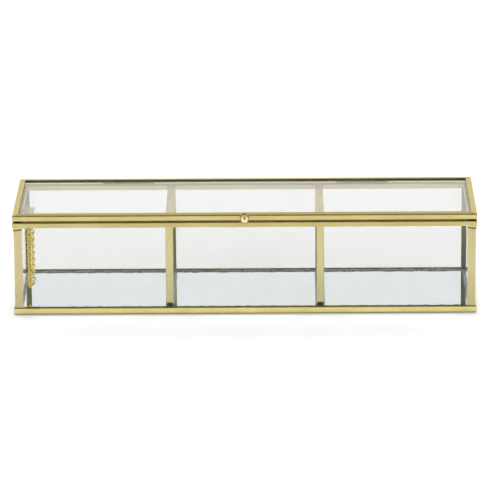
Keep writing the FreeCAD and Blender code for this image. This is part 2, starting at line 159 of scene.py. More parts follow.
def mitreShare(tree, coords, halfGap):
    # 1 on the hairline where two rails meet at a corner of the frame
    split = makeNode(tree, "ShaderNodeSeparateXYZ", {"Vector": coords.outputs["Object"]})
    fromEnd = calc(tree, "SUBTRACT", boxHalfWidth, calc(tree, "ABSOLUTE", split.outputs[0]))
    offMiddle = calc(tree, "ABSOLUTE", calc(tree, "SUBTRACT", split.outputs[1], boxMiddleY))
    fromSide = calc(tree, "SUBTRACT", boxHalfDepth, offMiddle)
    off = calc(tree, "ABSOLUTE", calc(tree, "SUBTRACT", fromEnd, fromSide))
    return ease(tree, off, halfGap * 1.6, halfGap * 0.5)


# brass

frameBrass = {
    "colour": colour(0.605, 0.52, 0.228),
    "deepColour": colour(0.545, 0.46, 0.188),
    "rubbedAndHighlitColour": colour(0.70, 0.62, 0.33),
    # painted shade on the faces turned inward
    "insideShadingColour": colour(0.28, 0.25, 0.065),
    # painted shading on upward faces (none on the plain frame)
    "topShadingColour": None,
    # height of a painted shade band at a rail's foot (none on the plain frame)
    "footShadeReach": None,
    "edgeTint": colour(0.80, 0.70, 0.42),
    # the dark hairline at the mitres, also used for the painted shade at a rail's foot
    "seamAndFootShadeColour": colour(0.10, 0.08, 0.03),
    "roughness": 0.30,
    "roughnessSpread": 0.14,
    "insideRoughness": 0.12,
    "cloudSize": 22 * millimetre,
    "grainLength": 26 * millimetre,
    "grainWidth": 0.22 * millimetre,
    "grainDepth": 0.012 * millimetre,
    "seamHalfWidth": 0.11 * millimetre,
}
# the hinges in darker brass
hingeBrass = dict(frameBrass, colour=colour(0.42, 0.34, 0.13), deepColour=colour(0.33, 0.26, 0.09),
                  rubbedAndHighlitColour=colour(0.60, 0.49, 0.22), insideShadingColour=colour(0.20, 0.16, 0.06),
                  roughness=0.34, cloudSize=6 * millimetre, grainLength=6 * millimetre)
# the knob's brass is polished, and lighter than the frame brass as painted light
polishedBrass = dict(frameBrass, colour=colour(0.92, 0.83, 0.46), deepColour=colour(0.84, 0.73, 0.36),
                     rubbedAndHighlitColour=colour(0.98, 0.93, 0.62), roughness=0.10, roughnessSpread=0.08,
                     cloudSize=2.5 * millimetre, grainLength=0.8 * millimetre, grainWidth=0.5 * millimetre,
                     grainDepth=0.002 * millimetre)
# the chain is a lighter copy again, painted light
chainBrass = dict(polishedBrass, colour=colour(1.0, 0.85, 0.17), deepColour=colour(0.93, 0.70, 0.08),
                  rubbedAndHighlitColour=colour(1.0, 0.90, 0.34), roughness=0.14, cloudSize=1.9 * millimetre)
# the collar is a darker copy, painted shade that rings the knob
shadedCollarBrass = dict(polishedBrass, colour=colour(0.50, 0.405, 0.165), deepColour=colour(0.42, 0.33, 0.12),
                   roughness=0.20)
# dark brass for the strips of painted shadow at the corners, and for the dark bead along the panes
darkStripBrass = dict(frameBrass, colour=colour(0.19, 0.145, 0.055), deepColour=colour(0.12, 0.09, 0.035),
                   rubbedAndHighlitColour=colour(0.26, 0.20, 0.08), roughness=0.55, cloudSize=1.2 * millimetre)
madeBrass = {}


def foldShadeShare(tree, coords, fold):
    # 1 on the band beside the upper fold of a front rail, where a dark line of shade is painted
    frontFace, topFace, reachBack, reachDown = fold
    split = makeNode(tree, "ShaderNodeSeparateXYZ", {"Vector": coords.outputs["Object"]})
    fromFront = calc(tree, "SUBTRACT", split.outputs[1], frontFace)
    fromTop = calc(tree, "SUBTRACT", topFace, split.outputs[2])
    near = ease(tree, fromFront, reachBack, reachBack * 0.7)
    return calc(tree, "MULTIPLY", near, ease(tree, fromTop, reachDown, reachDown * 0.6))


def makeBrass(name, look, along=None, outward=None, mitred=False, fold=None):
    key = (name, along, outward, mitred)
    if key in madeBrass:
        return madeBrass[key]
    material, tree, shader, coords = startMaterial(name)
    place = coords.outputs["Object"]
    tone = cloud(tree, place, look["cloudSize"], 3.0)
    grain = stretchedGrain(tree, place, along, look["grainLength"], look["grainWidth"])
    paint = blendColour(tree, ease(tree, tone, 0.32, 0.68), look["deepColour"], look["colour"])
    fine = ease(tree, grain, 0.3, 0.7, 0.0, 0.22)
    paint = blendColour(tree, fine, paint, look["deepColour"])
    uneven = ease(tree, cloud(tree, place, look["cloudSize"] * 0.3), 0.38, 0.66)
    # lighter corners: rubbed wear and a painted highlight on the bends
    rubbedAndHighlit = calc(tree, "MULTIPLY", bendShare(tree, coords, along), uneven)
    paint = blendColour(tree, calc(tree, "MULTIPLY", rubbedAndHighlit, 0.8), paint, look["rubbedAndHighlitColour"])
    rough = ease(tree, grain, 0.25, 0.75, look["roughness"] - look["roughnessSpread"] / 2,
                 look["roughness"] + look["roughnessSpread"] / 2)
    rough = calc(tree, "SUBTRACT", rough, calc(tree, "MULTIPLY", rubbedAndHighlit, 0.05))
    # painted shading on upward faces
    if look["topShadingColour"]:
        topShading = facingShare(tree, coords, straightUp, 0.8, 0.95)
        paint = blendColour(tree, topShading, paint, look["topShadingColour"])
    if outward is not None:
        # painted shading on the faces turned inward: shade on most parts, painted light on some rails
        insideShading = facingShare(tree, coords, outward, -0.45, -0.65)
        paint = blendColour(tree, insideShading, paint, look["insideShadingColour"])
        rough = calc(tree, "ADD", rough, calc(tree, "MULTIPLY", insideShading, look["insideRoughness"]))
    # painted shade along the foot of a rail, where it meets the floor
    if look["footShadeReach"]:
        split = makeNode(tree, "ShaderNodeSeparateXYZ", {"Vector": place})
        foot = ease(tree, split.outputs[2], look["footShadeReach"], look["footShadeReach"] * 0.5)
        paint = blendColour(tree, foot, paint, look["seamAndFootShadeColour"])
    # painted shade along the upper fold, made patchy by a cloud
    if fold:
        patchyFoldShade = ease(tree, uneven, 0.0, 1.0, 0.8, 1.0)
        paint = blendColour(tree, calc(tree, "MULTIPLY", foldShadeShare(tree, coords, fold), patchyFoldShade), paint,
                            look["foldShadeColour"])
    if mitred:
        seam = mitreShare(tree, coords, look["seamHalfWidth"])
        paint = blendColour(tree, seam, paint, look["seamAndFootShadeColour"])
    feed(tree, shader.inputs["Base Color"], paint)
    feed(tree, shader.inputs["Roughness"], rough)
    shader.inputs["Metallic"].default_value = 1.0
    shader.inputs["Specular Tint"].default_value = look["edgeTint"]
    addBump(tree, shader, grain, 0.35, look["grainDepth"])
    madeBrass[key] = material
    return material


# glass, mirror, silicone and board

clearGlass = {
    "tint": colour(0.842, 0.847, 0.838),
    "smearTint": colour(0.822, 0.829, 0.819),
    "edgeTint": colour(0.10, 0.25, 0.17),
    "lampTint": colour(0.985, 0.99, 0.985),
    "edgeRoughness": 0.32,
    "smearRoughness": 0.03,
    "smearSize": 34 * millimetre,
    "chipSize": 0.9 * millimetre,
    "waveSize": 60 * millimetre,
    "waveDepth": 0.02 * millimetre,
    "ior": 1.39,
}


def makeGlass(name, look, thin):
    # thin is the axis through the pane; every face square to another axis is a ground edge
    material, tree, shader, coords = startMaterial(name)
    place = coords.outputs["Object"]
    through = [0.0, 0.0, 0.0]
    through[thin] = 1.0
    front = facingShare(tree, coords, through, 0.45, 0.6)
    back = facingShare(tree, coords, through, -0.45, -0.6)
    edge = calc(tree, "SUBTRACT", 1.0, calc(tree, "MAXIMUM", front, back))
    smear = ease(tree, cloud(tree, place, look["smearSize"], 4.0, 0.6), 0.52, 0.78)
    paint = blendColour(tree, smear, look["tint"], look["smearTint"])
    paint = blendColour(tree, edge, paint, look["edgeTint"])
    rough = calc(tree, "MULTIPLY", smear, look["smearRoughness"])
    chips = ease(tree, cloud(tree, place, look["chipSize"], 3.0), 0.3, 0.7, 0.6, 1.4)
    ground = calc(tree, "MULTIPLY", edge, calc(tree, "MULTIPLY", chips, look["edgeRoughness"]))
    feed(tree, shader.inputs["Base Color"], paint)
    feed(tree, shader.inputs["Roughness"], calc(tree, "MAXIMUM", rough, ground))
    shader.inputs["Transmission Weight"].default_value = 1.0
    shader.inputs["IOR"].default_value = look["ior"]
    addBump(tree, shader, cloud(tree, place, look["waveSize"], 1.0), 0.3, look["waveDepth"])
    clear = makeNode(tree, "ShaderNodeBsdfTransparent", {"Color": look["lampTint"]})
    rays = tree.nodes.new("ShaderNodeLightPath")
    output = next(node for node in tree.nodes if node.type == "OUTPUT_MATERIAL")
    either = makeNode(tree, "ShaderNodeMixShader", {0: rays.outputs["Is Shadow Ray"], 1: shader.outputs[0],
                                                    2: clear.outputs[0]})
    tree.links.new(either.outputs[0], output.inputs["Surface"])
    return material


mirrorSilver = {
    "colour": colour(0.930, 0.960, 0.985),
    "hazeColour": colour(0.890, 0.925, 0.955),
    "edgeColour": colour(0.06, 0.12, 0.09),
    "wornColour": colour(0.30, 0.31, 0.29),
    "roughness": 0.015,
    "hazeRoughness": 0.07,
    "hazeSize": 26 * millimetre,
    "wornBand": 1.6 * millimetre,
    "wornRoughness": 0.4,
    "spotSize": 0.9 * millimetre,
    "waveSize": 70 * millimetre,
    "waveDepth": 0.02 * millimetre,
}


def makeMirror(name, look, low, high):
    material, tree, shader, coords = startMaterial(name)
    place = coords.outputs["Object"]
    split = makeNode(tree, "ShaderNodeSeparateXYZ", {"Vector": place})
    fromEdge = None
    for axis in (acrossX, acrossY):
        middle, half = (low[axis] + high[axis]) / 2, (high[axis] - low[axis]) / 2
        off = calc(tree, "ABSOLUTE", calc(tree, "SUBTRACT", split.outputs[axis], middle))
        gap = calc(tree, "SUBTRACT", half, off)
        fromEdge = gap if fromEdge is None else calc(tree, "MINIMUM", fromEdge, gap)
    haze = ease(tree, cloud(tree, place, look["hazeSize"], 4.0, 0.6), 0.35, 0.75)
    spots = ease(tree, cloud(tree, place, look["spotSize"], 3.0), 0.50, 0.62)
    worn = calc(tree, "MULTIPLY", spots, ease(tree, fromEdge, look["wornBand"], look["wornBand"] * 0.2))
    top = facingShare(tree, coords, straightUp, 0.4, 0.6)
    paint = blendColour(tree, haze, look["colour"], look["hazeColour"])
    paint = blendColour(tree, worn, paint, look["wornColour"])
    paint = blendColour(tree, top, look["edgeColour"], paint)
    rough = ease(tree, haze, 0.0, 1.0, look["roughness"], look["hazeRoughness"])
    rough = calc(tree, "ADD", rough, calc(tree, "MULTIPLY", worn, look["wornRoughness"]))
    feed(tree, shader.inputs["Base Color"], paint)
    feed(tree, shader.inputs["Roughness"], rough)
    shader.inputs["Metallic"].default_value = 1.0
    addBump(tree, shader, cloud(tree, place, look["waveSize"], 1.0), 0.15, look["waveDepth"])
    return material


silicone = {
    "colour": colour(0.72, 0.77, 0.73),
    "cloudyColour": colour(0.50, 0.56, 0.52),
    "roughness": 0.22,
    "roughnessSpread": 0.2,
    "clearness": 0.7,
    "ior": 1.41,
    "lumpSize": 1.1 * millimetre,
    "lumpDepth": 0.08 * millimetre,
}


def makeSilicone(name, look):
    material, tree, shader, coords = startMaterial(name)
    place = coords.outputs["Object"]
    lumps = cloud(tree, place, look["lumpSize"], 3.0)
    dust = ease(tree, cloud(tree, place, look["lumpSize"] * 3, 2.0), 0.4, 0.7)
    feed(tree, shader.inputs["Base Color"], blendColour(tree, dust, look["colour"], look["cloudyColour"]))
    rough = ease(tree, lumps, 0.3, 0.7, look["roughness"], look["roughness"] + look["roughnessSpread"])
    feed(tree, shader.inputs["Roughness"], rough)
    shader.inputs["Transmission Weight"].default_value = look["clearness"]
    shader.inputs["IOR"].default_value = look["ior"]
    addBump(tree, shader, lumps, 0.6, look["lumpDepth"])
    return material


backingBoard = {
    "colour": colour(0.115, 0.105, 0.092),
    "fibreColour": colour(0.185, 0.172, 0.150),
    "fibreLength": 3.5 * millimetre,
    "fibreWidth": 0.25 * millimetre,
    "fibreDepth": 0.05 * millimetre,
    "stainSize": 30 * millimetre,
    "roughness": 0.92,
    "roughnessSpread": 0.12,
}


def makeBoard(name, look):
    material, tree, shader, coords = startMaterial(name)
    place = coords.outputs["Object"]
    longFibres = stretchedGrain(tree, place, acrossX, look["fibreLength"], look["fibreWidth"])
    shortFibres = cloud(tree, place, look["fibreWidth"] * 3, 4.0)
    fibres = calc(tree, "MULTIPLY", longFibres, shortFibres)
    shade = ease(tree, fibres, 0.16, 0.36)
    stain = ease(tree, cloud(tree, place, look["stainSize"], 3.0), 0.35, 0.7, 0.0, 0.35)
    paint = blendColour(tree, shade, look["colour"], look["fibreColour"])
    feed(tree, shader.inputs["Base Color"], blendColour(tree, stain, paint, look["colour"]))
    rough = ease(tree, fibres, 0.1, 0.4, look["roughness"], look["roughness"] - look["roughnessSpread"])
    feed(tree, shader.inputs["Roughness"], rough)
    addBump(tree, shader, fibres, 0.5, look["fibreDepth"])
    return material


# finishes on the parts that keep their own shape

def dress(node, material):
    part = frame["nodes"][node]
    part.data.materials.clear()
    part.data.materials.append(material)


sideDirections = {
    "front": (0.0, -1.0, 0.0),
    "rear": (0.0, 1.0, 0.0),
    "left": (-1.0, 0.0, 0.0),
    "right": (1.0, 0.0, 0.0),
}
railBrass = {
    # the bottom rails: a lighter copy of the frame brass, painted light; their inner faces take a lighter
    # painted shade, with painted shade at the fold and the foot
    "bottom": dict(frameBrass, colour=colour(0.82, 0.71, 0.30), deepColour=colour(0.76, 0.645, 0.255),
                   insideShadingColour=colour(0.66, 0.61, 0.33), foldShadeColour=colour(0.33, 0.30, 0.13),
                   footShadeReach=0.55 * millimetre),
    # the top rails: a slightly darker copy, painted shade; painted shade on their upper faces under the lid
    # and painted light on their inner faces
    "top": dict(frameBrass, colour=colour(0.54, 0.465, 0.205), deepColour=colour(0.49, 0.415, 0.17),
                topShadingColour=colour(0.22, 0.185, 0.08), insideShadingColour=colour(0.76, 0.68, 0.30)),
    # the lid's rails: painted shade on the upper and inner faces and along the front fold
    "lid": dict(frameBrass, topShadingColour=colour(0.47, 0.41, 0.22), insideShadingColour=colour(0.19, 0.17, 0.04),
                foldShadeColour=colour(0.26, 0.22, 0.09)),
}
foldReach = {"bottom": (1.2 * millimetre, 0.42 * millimetre), "lid": (2.6 * millimetre, 0.55 * millimetre)}
for side, outward in sideDirections.items():
    runs = acrossX if side in ("front", "rear") else acrossY
    for level, look in railBrass.items():
        node = f"{level}_rail_{side}"
        if level == "lid" and runs == acrossY:
            # the lid's side rails take painted light on their upper faces
            look = dict(look, topShadingColour=colour(0.66, 0.58, 0.35))
        fold = None
        if level in foldReach and side == "front":
            low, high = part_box(node)
            fold = (low.y, high.z) + foldReach[level]
        dress(node, makeBrass(f"drawnBrass_{level}_{side}", look, runs, outward, True, fold))

# the posts are a slightly darker copy of the frame brass, painted shade, with painted shade on their inner
# faces; the divider channels are a lighter copy, painted light
postBrass = dict(frameBrass, colour=colour(0.555, 0.485, 0.26), deepColour=colour(0.49, 0.42, 0.215),
                 insideShadingColour=colour(0.26, 0.245, 0.03))
channelBrass = dict(frameBrass, colour=colour(0.84, 0.755, 0.375), deepColour=colour(0.77, 0.68, 0.31))
cornerShare = math.sqrt(0.5)
for depthName in ("front", "rear"):
    for sideName in ("left", "right"):
        twoWays = zip(sideDirections[depthName], sideDirections[sideName])
        outward = tuple(cornerShare * (deep + wide) for deep, wide in twoWays)
        dress(f"corner_post_{depthName}_{sideName}",
              makeBrass(f"drawnBrass_post_{depthName}_{sideName}", postBrass, upZ, outward))

for sideName in ("left", "right"):
    dress(sideName + "_divider_front_channel",
          makeBrass("drawnBrass_channel_front", channelBrass, upZ, sideDirections["front"]))
    dress(sideName + "_divider_rear_channel",
          makeBrass("drawnBrass_channel_rear", channelBrass, upZ, sideDirections["rear"]))
    dress(sideName + "_divider_top_channel",
          makeBrass("drawnBrass_channel_top", channelBrass, acrossY, straightUp))
    for leaf in ("_hinge_body_leaf", "_hinge_lid_leaf", "_hinge_pin"):
        dress(sideName + leaf, makeBrass("darkerHingeBrass", hingeBrass, acrossX))
lugBrass = dict(frameBrass, cloudSize=2 * millimetre, grainLength=2 * millimetre)
for lug in ("chain_lug_body", "chain_lug_lid"):
    dress(lug, makeBrass("lugBrass", lugBrass, upZ))

lidGlass = dict(clearGlass, tint=colour(0.800, 0.806, 0.798), smearTint=colour(0.780, 0.788, 0.778))
throughPane = {
    "front_glass": acrossY,
    "rear_glass": acrossY,
    "left_glass": acrossX,
    "right_glass": acrossX,
    "left_divider_glass": acrossX,
    "right_divider_glass": acrossX,
    "lid_glass": upZ,
}
for pane, thin in throughPane.items():
    look = lidGlass if pane == "lid_glass" else clearGlass
    dress(pane, makeGlass("floatGlass_" + pane.replace("_glass", ""), look, thin))

mirrorLow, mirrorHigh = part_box("mirror_floor")
dress("mirror_floor", makeMirror("silveredGlass", mirrorSilver, mirrorLow, mirrorHigh))
dress("floor_backing", makeBoard("greyBoard", backingBoard))
clearRubber = makeSilicone("clearSilicone", silicone)
dress("left_divider_glue", clearRubber)
dress("right_divider_glue", clearRubber)
print("finishes on the frame, panes, mirror and board")


# mesh helpers

def meshObject(name, vertices, faces, material, smooth=True):
    mesh = bpy.data.meshes.new(name)
    mesh.from_pydata([tuple(v) for v in vertices], [], faces)
    mesh.update()
    shape = bmesh.new()
    shape.from_mesh(mesh)
    bmesh.ops.recalc_face_normals(shape, faces=shape.faces)
    shape.to_mesh(mesh)
    shape.free()
    mesh.polygons.foreach_set("use_smooth", [smooth] * len(mesh.polygons))
    mesh.materials.append(material)
    piece = bpy.data.objects.new(name, mesh)
    bpy.context.scene.collection.objects.link(piece)
    return piece


def place(piece, body, slotName, *standsFor):
    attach(piece, body)
    if standsFor:
        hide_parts(*standsFor)
    return piece


def turned(profile, foot, axis, aside, steps):
    # a shape turned on a lathe: profile is (distance from foot along axis, radius)
    third = axis.cross(aside)
    vertices, faces = [], []
    for along, radius in profile:
        for step in range(steps):
            angle = 2 * math.pi * step / steps
            rim = aside * math.cos(angle) + third * math.sin(angle)
            vertices.append(foot + axis * along + rim * radius)
    for ring in range(len(profile) - 1):
        for step in range(steps):
            after = (step + 1) % steps
            faces.append((ring * steps + step, ring * steps + after,
                          (ring + 1) * steps + after, (ring + 1) * steps + step))
    faces.append(tuple(range(steps)))
    faces.append(tuple((len(profile) - 1) * steps + step for step in range(steps)))
    return vertices, faces


# stay chain

chain = {
    "linksPerStrand": 11,
    "wireRadius": 0.42 * millimetre,
    "linkHalfWidth": 1.08 * millimetre,
    "hookDepth": 0.90 * millimetre,
    "wireSides": 12,
    "sideSteps": 12,
    "bowSteps": 10,
    "lidEndTurn": 90,
}


def linkLine(length, halfWidth, look):
    # half a turn round the far end, the long side back, half a turn round the near end, the long side out
    points = []
    for step in range(look["bowSteps"]):
        angle = math.pi * (0.5 - step / look["bowSteps"])
        points.append((length - halfWidth + halfWidth * math.cos(angle), halfWidth * math.sin(angle)))
    for step in range(look["sideSteps"]):
        share = step / look["sideSteps"]
        points.append((length - halfWidth - (length - 2 * halfWidth) * share, -halfWidth))
    for step in range(look["bowSteps"]):
        angle = math.pi * (-0.5 - step / look["bowSteps"])
        points.append((halfWidth + halfWidth * math.cos(angle), halfWidth * math.sin(angle)))
    for step in range(look["sideSteps"]):
        share = step / look["sideSteps"]
        points.append((halfWidth + (length - 2 * halfWidth) * share, halfWidth))
    return points


def addLink(vertices, faces, start, along, aside, length, nearTurn, twist, look):
    third = along.cross(aside)
    line = linkLine(length, look["linkHalfWidth"], look)
    centres, planes = [], []
    for reach, off in line:
        share = min(max((reach - look["linkHalfWidth"]) / (length - 2 * look["linkHalfWidth"]), 0.0), 1.0)
        turn = math.radians(nearTurn + twist * share * share * (3 - 2 * share))
        across = aside * math.cos(turn) + third * math.sin(turn)
        centres.append(start + along * reach + across * off)
        planes.append(along.cross(across))
    first = len(vertices)
    count, sides = len(centres), look["wireSides"]
    for index in range(count):
        tangent = (centres[(index + 1) % count] - centres[index - 1]).normalized()
        flat = tangent.cross(planes[index]).normalized()
        up = flat.cross(tangent)
        for side in range(sides):
            angle = 2 * math.pi * side / sides
            rim = flat * math.cos(angle) + up * math.sin(angle)
            vertices.append(centres[index] + rim * look["wireRadius"])
    for index in range(count):
        after = (index + 1) % count
        for side in range(sides):
            beside = (side + 1) % sides
            faces.append((first + index * sides + side, first + index * sides + beside,
                          first + after * sides + beside, first + after * sides + side))


def chainStrand(name, body, start, end, endTurn, look, *standsFor):
    # each link starts a quarter turn on from the end of the one before; all but the flat first one twist back
    links = look["linksPerStrand"]
    along = (end - start).normalized()
    aside = Vector((1, 0, 0))
    aside = (aside - along * aside.dot(along)).normalized()
    pitch = (end - start).length / links
    twist = endTurn / (links - 1) - 90
    nearTurn, ownTwist = 0.0, 0.0
    vertices, faces = [], []
    for index in range(links):
        addLink(vertices, faces, start + along * (pitch * index), along, aside, pitch + look["hookDepth"],
                nearTurn, ownTwist, look)
        nearTurn += ownTwist + 90
        ownTwist = twist
    return place(meshObject(name, vertices, faces, goldWire), body, "chain_brass", *standsFor)


goldWire = makeBrass("chainGold", chainBrass)
bodyEye = Vector(jointByName["chain_lower_swing"]["pos_m"])
lidEye = Vector(jointByName["chain_upper_swing"]["pos_m"])
bodyEnd = Vector(jointByName["chain_link_swing"]["pos_m"])
hang = bodyEnd - bodyEye
lidEnd = lidEye + Vector((-hang.x, -hang.y, hang.z))
toward = Vector((lidEye.x - bodyEye.x, lidEye.y - bodyEye.y, 0)).normalized()
lastTurn = math.degrees(math.atan2(-toward.y, toward.x))
chainStrand("chainStrandBody", "chain_lower", bodyEye, bodyEnd, lastTurn, chain, "chain_body_strand")
# the lid strand's end turn is a compromise: the joining link runs into its wire both closed and fully open
chainStrand("chainStrandLid", "chain_upper", lidEye, lidEnd, chain["lidEndTurn"], chain, "chain_lid_strand")
joinVertices, joinFaces = [], []
between = lidEnd - bodyEnd
joinAside = Vector((-toward.y, toward.x, 0))
addLink(joinVertices, joinFaces, bodyEnd, between.normalized(), joinAside, between.length, 0.0, 0.0, chain)
joiningLink = meshObject("chainJoiningLink", joinVertices, joinFaces, goldWire)
place(joiningLink, "chain_link", "chain_brass", "chain_ring")
print("stay chain:", 2 * chain["linksPerStrand"] + 1, "links")


# knob and its collar

knob = {
    "steps": 48,
    "ballSteps": 20,
    "neckRadius": 1.15 * millimetre,
    "footRadius": 1.75 * millimetre,
    "footLength": 0.35 * millimetre,
    "footShape": ((0.0, 1.0), (0.5, 0.98), (1.0, 0.80)),
    "neckShape": ((1.5, 1.04), (2.2, 1.0)),
    "tipAngle": 0.06,
    "collarRim": 0.22 * millimetre,
    "collarDish": 0.18 * millimetre,
    "collarEase": 0.01 * millimetre,
}
knobLow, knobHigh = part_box("lid_knob")
collarLow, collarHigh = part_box("knob_collar")
ballRadius = (knobHigh.x - knobLow.x) / 2
knobCentre = Vector(((knobLow.x + knobHigh.x) / 2, knobLow.y + ballRadius, (knobLow.z + knobHigh.z) / 2))
knobFoot = Vector((knobCentre.x, knobHigh.y, knobCentre.z))
outOfLid, toRight = Vector((0, -1, 0)), Vector((1, 0, 0))
reach = knobFoot.y - knobCentre.y
# foot and neck shapes are (share of the foot's length, share of the foot's or the neck's radius)
profile = [(knob["footLength"] * along, knob["footRadius"] * wide) for along, wide in knob["footShape"]]
profile += [(knob["footLength"] * along, knob["neckRadius"] * wide) for along, wide in knob["neckShape"]]
neckAngle = math.asin(knob["neckRadius"] / ballRadius)
for step in range(knob["ballSteps"] + 1):
    angle = neckAngle + (math.pi - neckAngle - knob["tipAngle"]) * step / knob["ballSteps"]
    profile.append((reach - ballRadius * math.cos(angle), ballRadius * math.sin(angle)))
knobVertices, knobFaces = turned(profile, knobFoot, outOfLid, toRight, knob["steps"])
shinyBrass = makeBrass("polishedBrass", polishedBrass)
place(meshObject("knobBall", knobVertices, knobFaces, shinyBrass), "lid", "polished_brass", "lid_knob")

collarRadius = (collarHigh.x - collarLow.x) / 2 - knob["collarEase"]
collarThick = collarHigh.y - collarLow.y
collarFoot = Vector(((collarLow.x + collarHigh.x) / 2, collarHigh.y, (collarLow.z + collarHigh.z) / 2))
rim = knob["collarRim"]
collarProfile = [
    (0.0, collarRadius - rim * 0.5),
    (rim * 0.5, collarRadius),
    (collarThick - rim, collarRadius),
    (collarThick - rim * 0.3, collarRadius - rim * 0.3),
    (collarThick, collarRadius - rim),
    (collarThick, collarRadius - rim * 2.2),
    (collarThick - knob["collarDish"], collarRadius - rim * 3.6),
    (collarThick - knob["collarDish"], knob["footRadius"] * 0.9),
]
collarVertices, collarFaces = turned(collarProfile, collarFoot, outOfLid, toRight, knob["steps"])
collarShadeMaterial = makeBrass("shadedCollarBrass", shadedCollarBrass)
knobCollar = meshObject("knobCollar", collarVertices, collarFaces, collarShadeMaterial)
place(knobCollar, "lid", "polished_brass", "knob_collar")
print("knob turned")


# lid bumpers

bumper = {
    "steps": 28,
    "domeSteps": 7,
    "skirt": 0.28,
    "footShare": 0.97,
    "footRise": 0.4,
    "domeTurn": 0.96,
}
bumperLow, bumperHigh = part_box("lid_bumpers")
bumperRadius = (bumperHigh.y - bumperLow.y) / 2
bumperHeight = bumperHigh.z - bumperLow.z
dome = [(0.0, bumperRadius * bumper["footShare"]),
        (bumperHeight * bumper["skirt"] * bumper["footRise"], bumperRadius)]
for step in range(bumper["domeSteps"] + 1):
    angle = math.pi / 2 * step / bumper["domeSteps"] * bumper["domeTurn"]
    dome.append((bumperHeight * (bumper["skirt"] + (1 - bumper["skirt"]) * math.sin(angle)),
                 bumperRadius * math.cos(angle)))
bumperVertices, bumperFaces = [], []
for centreX in (bumperLow.x + bumperRadius, bumperHigh.x - bumperRadius):
    foot = Vector((centreX, (bumperLow.y + bumperHigh.y) / 2, bumperLow.z))
    vertices, faces = turned(dome, foot, Vector((0, 0, 1)), toRight, bumper["steps"])
    start = len(bumperVertices)
    bumperVertices += vertices
    bumperFaces += [tuple(start + corner for corner in face) for face in faces]
bumperDots = meshObject("bumperDots", bumperVertices, bumperFaces, clearRubber)
place(bumperDots, "box_body", "clear_silicone", "lid_bumpers")
print("bumpers domed")


# a dark bead along the foot of the panes, and glue round the mirror

puttyBead = {
    "depth": 1.6 * millimetre,
    "rise": 0.30 * millimetre,
    "step": 2.5 * millimetre,
    "unevenness": 0.16,
    "bumpSize": 5 * millimetre,
}
glueBead = {
    "depth": 0.95 * millimetre,
    "rise": 0.85 * millimetre,
    "step": 1.2 * millimetre,
    "unevenness": 0.75,
    "bumpSize": 3.2 * millimetre,
}
# the bead along the foot of the panes is dark brass
putty = dict(darkStripBrass, colour=colour(0.32, 0.29, 0.14), deepColour=colour(0.24, 0.215, 0.10),
             roughness=0.6)
# the section of a bead, as shares of its depth and rise
beadSection = ((0.0, 0.0), (1.0, 0.0), (0.72, 0.40), (0.36, 0.74), (0.0, 1.0))


def bead(name, start, end, outward, look, material, slotName):
    # a fillet in a corner: start to end is the corner's line, outward points away from the upright face
    run = end - start
    steps = max(2, round(run.length / look["step"]))
    corners = len(beadSection)
    up = Vector(straightUp)
    vertices, faces = [], []
    for step in range(steps + 1):
        spot = start + run * (step / steps)
        swell = 1 + look["unevenness"] * noise.noise(spot / look["bumpSize"])
        depth, rise = look["depth"] * swell, look["rise"] * swell
        vertices += [spot + outward * depth * out + up * rise * high for out, high in beadSection]
    for step in range(steps):
        here, beyond = step * corners, (step + 1) * corners
        for corner in range(corners):
            after = (corner + 1) % corners
            faces.append((here + corner, here + after, beyond + after, beyond + corner))
    faces.append(tuple(range(corners)))
    faces.append(tuple(steps * corners + corner for corner in range(corners)))
    return place(meshObject(name, vertices, faces, material), "box_body", slotName)


def beadLine(low, high, height, axis, flat, runs, inset):
    # the two ends of a corner's line, which lies at flat across axis and is drawn in along runs
    ends = []
    for corner, inward in ((low, inset), (high, -inset)):
        end = Vector((corner.x, corner.y, height))
        end[axis] = flat
        ends.append(end + runs * inward)
    return ends


puttyBrass = makeBrass("puttyLine", putty)
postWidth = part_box("corner_post_front_left")[1].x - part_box("corner_post_front_left")[0].x
for side, outward in sideDirections.items():
    out = Vector(outward)
    paneLow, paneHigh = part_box(side + "_glass")
    railLow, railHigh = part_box("bottom_rail_" + side)
    runs, axis = (Vector((1, 0, 0)), acrossY) if side in ("front", "rear") else (Vector((0, 1, 0)), acrossX)
    outer = (paneHigh if outward[axis] > 0 else paneLow)[axis]
    inner = (paneLow if outward[axis] > 0 else paneHigh)[axis]
    start, end = beadLine(railLow, railHigh, railHigh.z, axis, outer, runs, postWidth)
    bead("putty" + side.title(), start, end, out, puttyBead, puttyBrass, "frame_brass")
    start, end = beadLine(mirrorLow, mirrorHigh, mirrorHigh.z, axis, inner, runs, 0.0)
    bead("mirrorGlue" + side.title(), start, end, -out, glueBead, clearRubber, "clear_silicone")
print("putty and glue run")


# folded tabs at the corners, with strips of painted shadow under them and at the posts' feet

cornerTab = {
    "outerDrop": 1.30 * millimetre,
    "innerDrop": 0.75 * millimetre,
    "thick": 0.30 * millimetre,
    "bevel": 0.09 * millimetre,
}
# a strip of painted shadow under each tab, on the post
tabShadowStrip = {
    "outerDrop": 0.95 * millimetre,
    "innerDrop": 0.80 * millimetre,
    "thick": 0.10 * millimetre,
    "bevel": 0.02 * millimetre,
}
# and one of painted shade where each post meets the foot rail
footShadowStrip = dict(tabShadowStrip, outerDrop=0.45 * millimetre, innerDrop=0.45 * millimetre)


